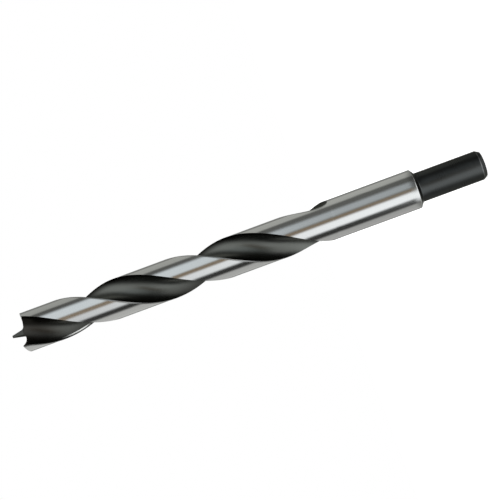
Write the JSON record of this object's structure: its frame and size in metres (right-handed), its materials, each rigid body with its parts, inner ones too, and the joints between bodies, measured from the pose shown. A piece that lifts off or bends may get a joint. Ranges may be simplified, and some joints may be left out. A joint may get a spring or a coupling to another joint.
{
  "type": "brad point drill bit",
  "caption": "Brad point twist drill for wood: a ground body with spiral flutes, a centre brad between spurred lips, and a thinner black shank.",
  "frame": {"origin": "centre of the shank's flat end face, on which the drill stands", "axes": "+Z along the drill's axis, from the shank's end to the brad point; the flutes turn right-handed about +Z"},
  "size_m": [0.0126, 0.0126, 0.1576],
  "materials": {
    "drill_steel": "ground bright on the body's round, black oxide in the flutes, on the point and on the shank"
  },
  "bodies": {
    "root": {"drill_bit": "drill_steel"}
  },
  "joints": []
}
